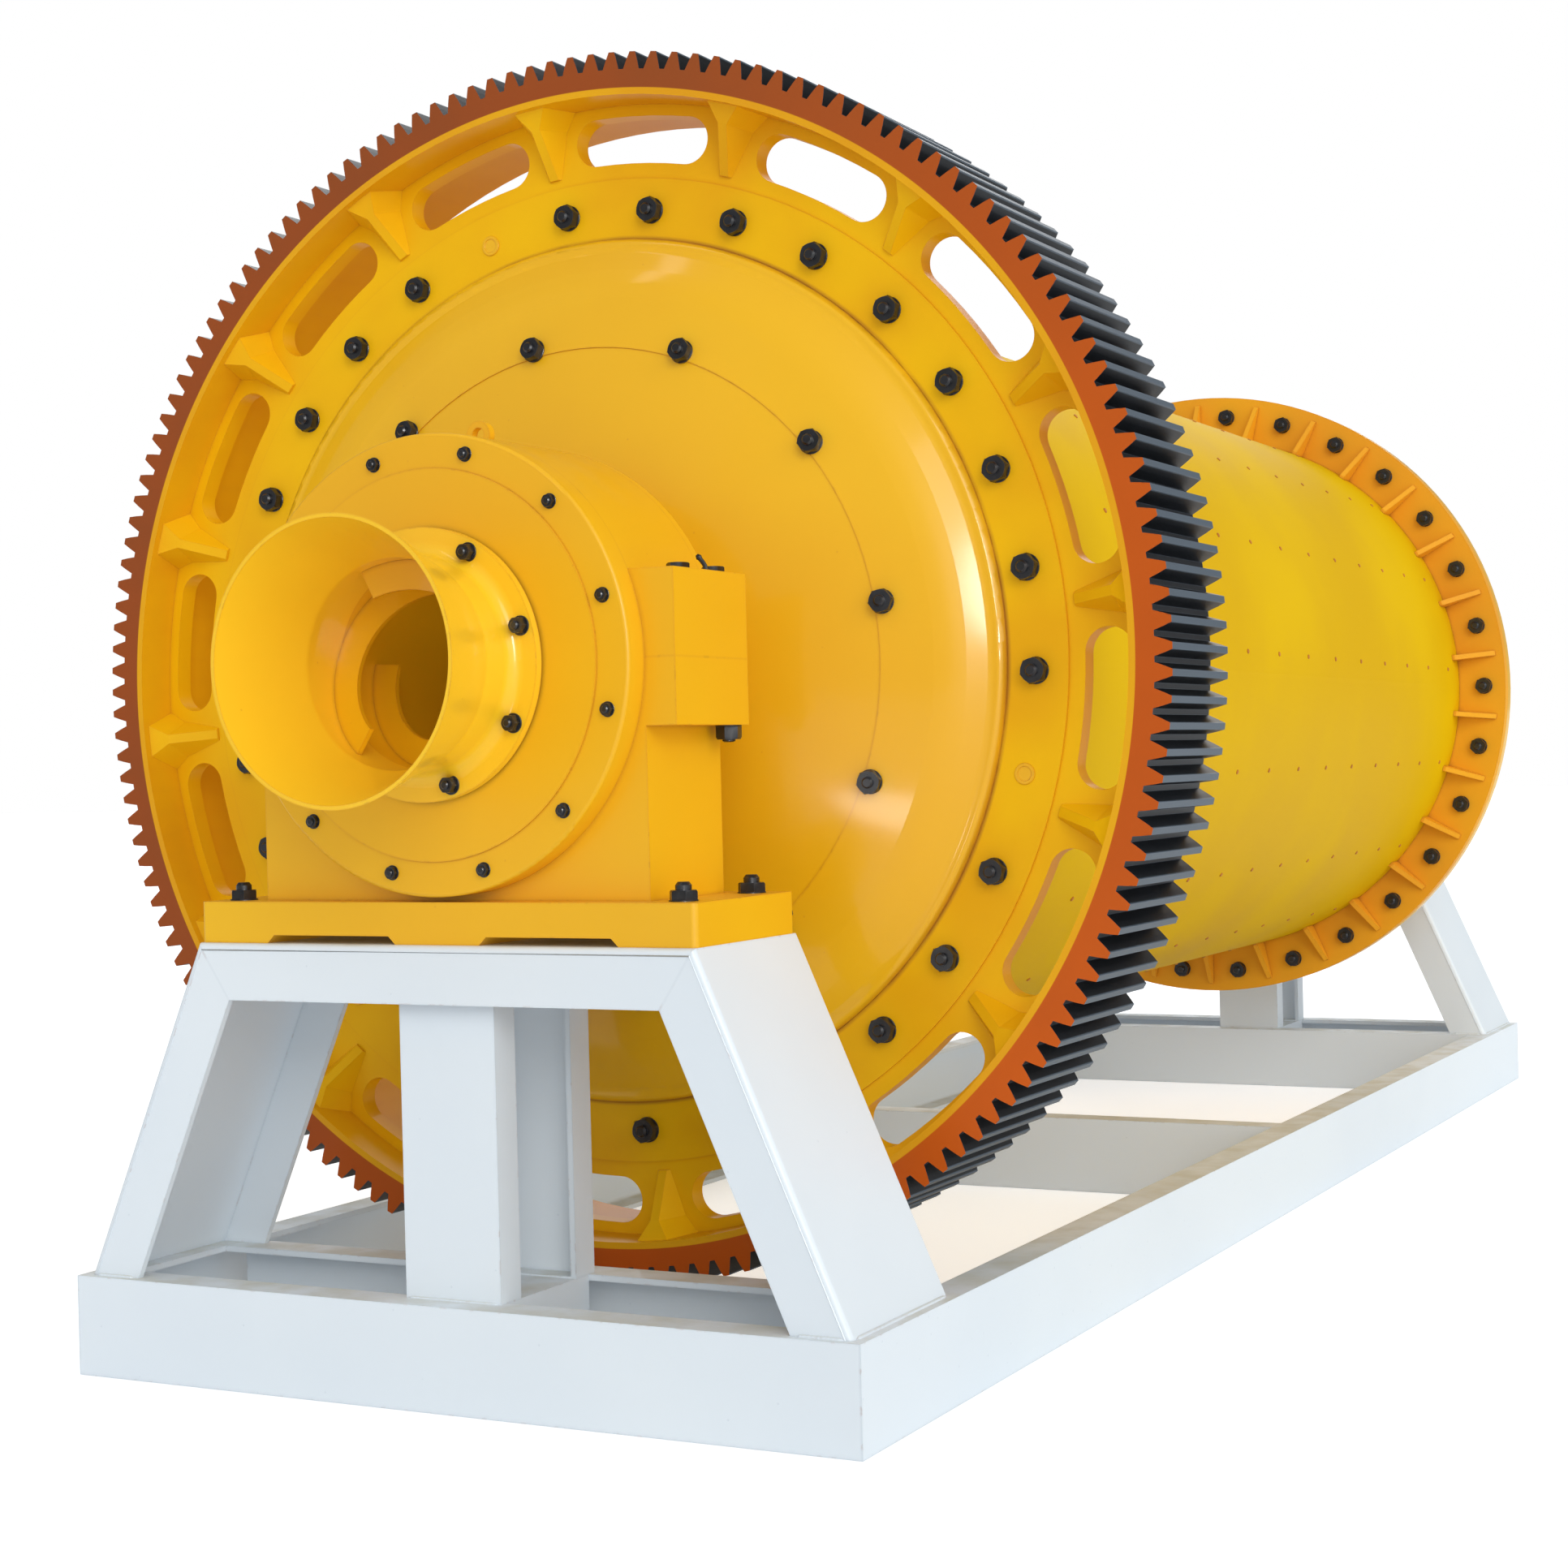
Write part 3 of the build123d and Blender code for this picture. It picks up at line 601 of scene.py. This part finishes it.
# %% Bolts of the gear and of the drum's flanges
flange_bolt_count, nut_turn = 30, 15
gear_bolt_radius, rear_bolt_radius = 0.860, 0.858
gear_face_y, flange_back_y, head_face_y = -1.855, 1.739, 1.811
gear_bolt_angles = even_angles(flange_bolt_count, 7.96)
rear_bolt_angles = even_angles(flange_bolt_count, 18.12)
is_plug = np.isin(np.arange(flange_bolt_count), [8, 18, 28])
plug_profile = [
    (0.019, -0.001, 0),
    (0.019, 0.0015, 0),
    (0.018, 0.003, 0),
    (0.0135, 0.003, 0),
    (0.0125, 0.0015, 0),
    (0.004, 0.0015, 0),
]


def bolt_circle(name, angles, radius, y, out):
    """A circle of large nuts or bolt heads that turns with the drum, each standing along out."""
    bolts = copied(large_nut, on_circle(angles, radius, y), out, nut_turn)
    make_piece(name, bolts, black_steel, "drum")


bolt_circle("gear_bolt_nuts", gear_bolt_angles[~is_plug], gear_bolt_radius, gear_face_y, forward)
bolt_circle("gear_bolt_heads", gear_bolt_angles[~is_plug], gear_bolt_radius, -flange_back_y, backward)
plug_seats = on_circle(gear_bolt_angles[is_plug], gear_bolt_radius, gear_face_y)
blank_plugs = copied(ring_stack(plug_profile), plug_seats, forward)
make_piece("gear_blank_plugs", blank_plugs, mill_paint, "drum")
bolt_circle("rear_flange_bolt_heads", rear_bolt_angles, rear_bolt_radius, flange_back_y, forward)
bolt_circle("rear_flange_bolt_nuts", rear_bolt_angles, rear_bolt_radius, head_face_y, backward)

# %% [markdown]
# Twelve bolts on each domed head hold the lining plates inside it. They stand square to the sloping
# wall, not along the axis, so that their washers seat all round.

# %% Lining bolts of the heads
head_slope, head_nut_turn = 0.2, 10
head_bolt_radius, head_bolt_y = 0.611, 1.9268
head_bolt_angles = even_angles(12, 20.61)
for name, toward in mill_ends:
    seats = on_circle(head_bolt_angles, head_bolt_radius, toward * head_bolt_y)
    square_to_wall = toward * backward + head_slope * around_axis(head_bolt_angles)
    bolts = copied(medium_nut, seats, square_to_wall, head_nut_turn)
    make_piece(f"{name}_head_bolts", bolts, black_steel, "drum")

# %% [markdown]
# The drum's lining is held by bolts in eighteen rows along the shell. Outside they end in small dark
# plugs, set nearly flush. They are many, so each one is a shallow button of few faces.

# %% Lining plugs of the shell
shell_radius = 0.785
row_angles, along_shell = even_angles(18, 6.6), np.linspace(-1.6, 1.6, 14)
row, place_along = np.meshgrid(row_angles, along_shell, indexing="ij")
plug_out = around_axis(row.ravel())
plug_seats = axis_height * upward + shell_radius * plug_out + place_along.ravel()[:, None] * backward
button = ring_stack([(0.0055, -0.002, 0), (0.0055, 0.0015, 0), (0.0035, 0.003, 0)], sides=8)
lining_plugs = copied(button, plug_seats, plug_out)
make_piece("shell_lining_plugs", lining_plugs, plug_paint, "drum")

# %% [markdown]
# Smaller screws hold each bearing's covers and the flange of each spout. The spout turns with the
# drum, and the covers stand still with the stand, so their screws ride on different bodies.

# %% Screws of the bearing covers and spouts
cover_face_y, cover_back_y, spout_face_y = 2.440, 2.116, 2.465
cover_screw_radius, spout_screw_radius = 0.358, 0.209
cover_angles, spout_angles = even_angles(12, 13.64), even_angles(8, 29.22)
cover_screw = ring_stack(nut_profile(0.0115, 0.009, washer=1.12, end=0.55, end_height=0.35))
spout_screw = ring_stack(nut_profile(0.0145, 0.017, washer=1.15, end=0.5, end_height=0.3))
for (name, toward), spout in zip(mill_ends, ("discharge_trumpet", "feed_spout")):
    away = toward * backward
    outer_seats = on_circle(cover_angles, cover_screw_radius, toward * cover_face_y)
    inner_seats = on_circle(cover_angles, cover_screw_radius, toward * cover_back_y)
    cover_screws = joined(copied(cover_screw, outer_seats, away), copied(cover_screw, inner_seats, -away))
    make_piece(f"{name}_cover_screws", cover_screws, black_steel, "frame")
    spout_seats = on_circle(spout_angles, spout_screw_radius, toward * spout_face_y)
    spout_screws = copied(spout_screw, spout_seats, away)
    make_piece(f"{spout}_screws", spout_screws, black_steel, "drum")

# %% [markdown]
# Each bearing stands on its foot plate with four studs that rise well above their nuts. Bolts on
# either side clamp its halves together: two heads lie on each clamp block, and a nut shows under it.
# Small screws stand on the faces that are turned to the drum, on the foot plate and on the blocks.

# %% Studs, clamp bolts and jacking screws of each bearing
bearing_middle_y, plate_top_z, clamp_top_z, clamp_under_z = 2.265, 0.856, 1.399, 1.142
stud_x, stud_step = 0.448, 0.118
clamp_head_x, clamp_head_step = 0.420, 0.06
clamp_nut_x, clamp_nut_back = 0.421, 0.100
# Rows of (x, distance from the bearing's middle towards the drum, z): foot plate, then clamp block.
jacking_places = ((0.485, 0.1725, 0.818), (0.432, 0.125, 1.290))
foot_nut = ring_stack(nut_profile(0.0245, 0.018, washer=1.0, end=0.56, end_height=0.75))
clamp_head = ring_stack(nut_profile(0.0195, 0.010, washer=1.0, end=0.7, end_height=0.05))
clamp_nut = ring_stack(nut_profile(0.0225, 0.024, washer=1.0, end=0.5, end_height=0.2))
jacking_screw = ring_stack(nut_profile(0.010, 0.008, washer=1.0, end=0.5, end_height=0.1))


def on_both_sides(x, ys, z):
    """Seats at -x and then at x, one for every y, all at height z."""
    return np.array([[side * x, y, z] for side in (-1, 1) for y in ys])


for name, toward in mill_ends:
    middle = toward * bearing_middle_y
    stud_seats = on_both_sides(stud_x, (middle - stud_step, middle + stud_step), plate_top_z)
    studs = copied(foot_nut, stud_seats, upward, 8)
    make_piece(f"{name}_bearing_studs", studs, black_steel, "frame")
    head_ys = (middle - clamp_head_step, middle + clamp_head_step)
    heads = copied(clamp_head, on_both_sides(clamp_head_x, head_ys, clamp_top_z), upward, 20)
    nut_seats = on_both_sides(clamp_nut_x, [middle - toward * clamp_nut_back], clamp_under_z)
    nuts = copied(clamp_nut, nut_seats, -upward, 20)
    make_piece(f"{name}_clamp_bolts", joined(heads, nuts), black_steel, "frame")
    screw_seats = [[side * x, middle - toward * back, z] for side in (-1, 1) for x, back, z in jacking_places]
    screws = copied(jacking_screw, screw_seats, -toward * backward, 10)
    make_piece(f"{name}_jacking_screws", screws, black_steel, "frame")

# %% [markdown]
# A grease nipple is a short bent pipe with a knob on its end, and a weld is a bead laid along a seam.
# Both are a round section carried along a path, so one helper makes them: the path gives the middle
# of each ring, and a list of radii says how thick it is there. A curve with a bevel would look the
# same, but it would have to be turned into a mesh for the export.

# %% A round section carried along a path, and the grease nipples
def carried(path, radii, sides=10):
    """Tube round a path: ring k is path[k] + radii[k] * (side cos t + second sin t), across the path."""
    path, radii = np.asarray(path, float), np.asarray(radii, float)
    along = np.gradient(path, axis=0)
    along /= np.linalg.norm(along, axis=1, keepdims=True)
    steep = abs(along[:, 2]).mean() >= 0.6
    side = np.cross(along, [1.0, 0.0, 0.0] if steep else [0.0, 0.0, 1.0])
    side /= np.linalg.norm(side, axis=1, keepdims=True)
    second = np.cross(along, side)
    t = np.linspace(0, 2 * np.pi, sides, endpoint=False)[None, :, None]
    rings = path[:, None] + radii[:, None, None] * (side[:, None] * np.cos(t) + second[:, None] * np.sin(t))
    return capped_tube(rings, path[0], path[-1])


nipple_x, nipple_back, nipple_height, nipple_lean = 0.424, 0.026, 0.030, 0.016
nipple_radii = [0.006, 0.006, 0.0045, 0.004, 0.004, 0.004, 0.004, 0.0055, 0.003]
for name, toward in mill_ends:
    foot = np.array([nipple_x, toward * (bearing_middle_y - nipple_back), clamp_top_z])
    share = np.linspace(0, 1, len(nipple_radii))
    rise = nipple_height * share - 0.002
    lean = -nipple_lean * np.clip(share - 0.35, 0, 1) ** 1.2
    nipple_path = foot + np.stack([1.4 * lean, -0.4 * toward * lean, rise], axis=1)
    nipple = carried(nipple_path, nipple_radii)
    make_piece(f"{name}_grease_nipple", nipple, black_steel, "frame")

# %% [markdown]
# The stand is welded, so every seam has a bead under the paint: a thin rope with the small ripples
# that each dip of the welder leaves. The beads sit half sunk along the feet of the legs and round the
# ends of the columns. The front and rear plates of each portal show as a thin raised seam, set in a
# little from the edge.

# %% Weld beads and plate seams of the stand
bead_thickness, thin_bead_thickness, ripple = 0.0045, 0.0035, 0.0085
corner_gap, foot_bead_length, column_gap = 0.012, 0.100, 0.004
seam_inset, seam_thickness = 0.012, 0.0015


def weld_bead(start, finish, thickness=bead_thickness):
    """A bead, thin at both ends: at s its radius is thickness * (0.86 + 0.16 |sin(pi s / ripple)|)."""
    start, finish = np.array(start, float), np.array(finish, float)
    length = np.linalg.norm(finish - start)
    s = np.linspace(0, length, max(12, int(length / ripple * 4)))
    ends = np.clip(np.minimum(s, length - s) / (2 * thickness), 0.35, 1)
    radii = thickness * (0.86 + 0.16 * np.abs(np.sin(np.pi * s / ripple))) * ends
    return carried(start + (finish - start) * (s / length)[:, None], radii, sides=8)


def leg_beads(low, high, foot_x, inward):
    """Beads round a leg's foot: along both faces from the outer corner inward, then along the outside."""
    near, far = foot_x + inward * corner_gap, foot_x + inward * foot_bead_length
    on_faces = [weld_bead((near, y, rail_top), (far, y, rail_top)) for y in (low.y, high.y)]
    outside = weld_bead((foot_x, low.y + corner_gap, rail_top), (foot_x, high.y - corner_gap, rail_top))
    return [*on_faces, outside]


def column_beads(low, high):
    """Thin beads across a column's two faces, at its foot and at its top."""
    return [
        weld_bead((low.x + column_gap, y, z), (high.x - column_gap, y, z), thin_bead_thickness)
        for z in (low.z, high.z)
        for y in (low.y, high.y)
    ]


def portal_seams(foot_low, foot_high, beam_low, beam_high):
    """A thin line on each face of the portal, up one leg, along the beam and down the other leg."""
    lean = (beam_low.x - foot_low.x) / (beam_high.z - rail_top)
    inset = seam_inset * np.hypot(1, lean)
    foot_x, corner_x = foot_low.x + inset, beam_low.x - seam_inset * lean + inset
    seams = []
    for y in (beam_low.y, beam_high.y):
        corners = [(foot_x, y, rail_top), (corner_x, y, beam_high.z - seam_inset)]
        corners += [(-x, y, z) for x, y, z in reversed(corners)]
        seams.append(carried(corners, [seam_thickness] * len(corners), sides=6))
    return seams


rail_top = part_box("base_left_rail")[1].z
for name, _ in mill_ends:
    left_low, left_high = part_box(f"{name}_pedestal_left_leg")
    right_low, right_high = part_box(f"{name}_pedestal_right_leg")
    beads = leg_beads(left_low, left_high, left_low.x, 1) + leg_beads(right_low, right_high, right_high.x, -1)
    for part in ("outer", "inner"):
        beads += column_beads(*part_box(f"{name}_column_{part}"))
    beads += portal_seams(left_low, left_high, *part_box(f"{name}_pedestal_top_beam"))
    make_piece(f"{name}_pedestal_welds", joined(*beads), stand_paint, "frame")

# %% [markdown]
# The camera stands where the photographer stood: to the right of the mill's front and a little below
# its axis. Its place came from fitting the bolt circles, which are the best rulers on a round machine.
# It is tilted a degree and a half, as the picture is.

# %% Camera
picture_width, focal_pixels, sensor_width = 1932, 3197.4, 36
camera_place = Vector((2.515, -6.046, 1.076))
yaw, pitch, roll = np.radians([27.16, -0.47, -1.43])
looking = Vector((-np.sin(yaw) * np.cos(pitch), np.cos(yaw) * np.cos(pitch), np.sin(pitch)))
level_right = Vector((np.cos(yaw), np.sin(yaw), 0))
level_up = level_right.cross(looking)
right = level_right * np.cos(roll) + level_up * np.sin(roll)
up = level_up * np.cos(roll) - level_right * np.sin(roll)
camera_data = bpy.data.cameras.new("studio camera")
camera_data.sensor_width = sensor_width
camera_data.lens = focal_pixels / picture_width * sensor_width
camera_data.clip_end = 100
camera = bpy.data.objects.new("studio camera", camera_data)
turned = Matrix((right, up, -looking)).transposed().to_4x4()
camera.matrix_world = Matrix.Translation(camera_place) @ turned
bpy.context.scene.collection.objects.link(camera)
bpy.context.scene.camera = camera
print("lens", round(camera_data.lens, 2), "mm")

# %% [markdown]
# A pale hall lights a big machine evenly from far away. Far, wide lamps (suns with a broad disc) give
# this even part, so the floor keeps one tone out to its edge. The low one stands for the light that a
# white hall throws back into the stand, so it casts no shadow.

# %% Even light
def far_lamp(name, toward, strength, width, colour, shadow=True):
    """A sun that shines along toward; width is the angle of its disc, which softens its shadows."""
    data = bpy.data.lights.new(name, "SUN")
    data.energy, data.angle, data.color = strength, np.radians(width), colour
    data.use_shadow = shadow
    lamp = bpy.data.objects.new(name, data)
    lamp.rotation_euler = Vector(toward).to_track_quat("-Z", "Y").to_euler()
    bpy.context.scene.collection.objects.link(lamp)
    print("far lamp:", name)


far_lamp("front right lamp", (-0.6, 0.75, -0.5), 0.72, 30, (1.0, 1.0, 0.97))
far_lamp("right side lamp", (-0.9, 0.1, -0.4), 0.38, 30, (0.98, 1.0, 0.94))
far_lamp("low right lamp", (-0.8, 0.5, 0.04), 1.0, 60, (0.94, 0.98, 1.0), shadow=False)
far_lamp("front left lamp", (0.6, 0.8, -0.35), 0.04, 40, (1.0, 0.98, 0.95))
far_lamp("rear lamp", (0.35, -0.85, -0.5), 0.7, 40, (1.0, 1.0, 1.0))

# %% [markdown]
# The gleams on the head are mirrored windows: a tall one on the right, a small low one and a faint
# one in the roof. Three panels stand in for them. They light nothing and show only in gloss, so each
# gleam can be placed without changing the even light.

# %% Window panels
def window_panel(name, place, target, width, height, brightness):
    """An oval panel at place that faces target and shows only in gloss: power = pi * area * brightness."""
    data = bpy.data.lights.new(name, "AREA")
    data.shape, data.size, data.size_y = "ELLIPSE", width, height
    data.energy = np.pi * width * height * brightness
    panel = bpy.data.objects.new(name, data)
    panel.visible_diffuse = False
    panel.visible_camera = False
    panel.location = place
    panel.rotation_euler = (Vector(target) - Vector(place)).to_track_quat("-Z", "Y").to_euler()
    bpy.context.scene.collection.objects.link(panel)
    print("window panel:", name)


head_edge, head_top, head_low = (0.74, -1.89, 1.39), (0.2, -1.89, 2.0), (0.62, -1.91, 0.98)
window_panel("right window", (4.9, -8.2, 3.3), head_edge, 1.3, 3.6, 26)
window_panel("low front window", (0.41, -4.86, 0.47), head_low, 0.42, 0.2, 9)
window_panel("roof window", (-1.6, -4.4, 7.0), head_top, 0.4, 3.4, 3)

# %% [markdown]
# The world is the pale hall itself. It lights the mill with a bluish white, is darker where it is
# only mirrored, so that the paint keeps its depth, and is plain white where the camera sees it.

# %% World
world = bpy.data.worlds.new("pale studio")
bpy.context.scene.world = world
world.use_nodes = True
tree = world.node_tree
sky = tree.nodes["Background"]
sky.inputs["Color"].default_value = (0.93, 0.97, 1.0, 1.0)
sky.inputs["Strength"].default_value = 0.74
plain_white = node(tree, "ShaderNodeBackground", Color=(1, 1, 1, 1), Strength=1.0).outputs[0]
mirrored = node(tree, "ShaderNodeBackground", Color=(0.95, 0.97, 1, 1), Strength=0.26).outputs[0]
ray = node(tree, "ShaderNodeLightPath").outputs
seen = maths(tree, "MAXIMUM", ray["Is Camera Ray"], ray["Is Transmission Ray"])
lit = node(tree, "ShaderNodeMixShader", i0=ray["Is Glossy Ray"], i1=sky.outputs[0], i2=mirrored).outputs[0]
choice = node(tree, "ShaderNodeMixShader", i0=seen, i1=lit, i2=plain_white).outputs[0]
tree.links.new(choice, tree.nodes["World Output"].inputs["Surface"])
print("world:", world.name)

# %% [markdown]
# The floor is a plain white sweep. Seen by the camera it adds a little light of its own, so that it
# reaches white without a brighter lamp, and the stand's soft shadow stays on it.

# %% Floor
floor_reach, floor_gap, floor_light = 60.0, 0.0005, 0.42
floor_corners = np.array([[-1, -1, 0], [1, -1, 0], [1, 1, 0], [-1, 1, 0]]) * floor_reach
floor_corners[:, 2] = cad_low.z - floor_gap
floor_mesh = bpy.data.meshes.new("studio_floor")
floor_mesh.from_pydata(floor_corners, [], [[0, 1, 2, 3]])
floor = bpy.data.objects.new("studio_floor", floor_mesh)
bpy.context.scene.collection.objects.link(floor)
floor_paint, tree, shader = new_material("white sweep", 0.9)
tone = effect(tree, tone_group, Patch_Size=3.0, Grain_Size=0.01)
floor_colour = mixed(tree, tone["Tone"], shade(236, 237, 239), shade(240, 241, 242))
tree.links.new(floor_colour, shader.inputs["Base Color"])
seen = node(tree, "ShaderNodeLightPath").outputs["Is Camera Ray"]
own_light = maths(tree, "MULTIPLY", seen, floor_light)
glow = node(tree, "ShaderNodeEmission", Color=(1, 1, 1, 1), Strength=own_light).outputs[0]
both = node(tree, "ShaderNodeAddShader", i0=shader.outputs[0], i1=glow).outputs[0]
tree.links.new(both, tree.nodes["Material Output"].inputs["Surface"])
floor_mesh.materials.append(floor_paint)
print("floor", 2 * floor_reach, "m wide")

# %% [markdown]
# The dressed mill has to stay the size the CAD gave it.

# %% Finish
bpy.context.scene.view_settings.view_transform = "Standard"
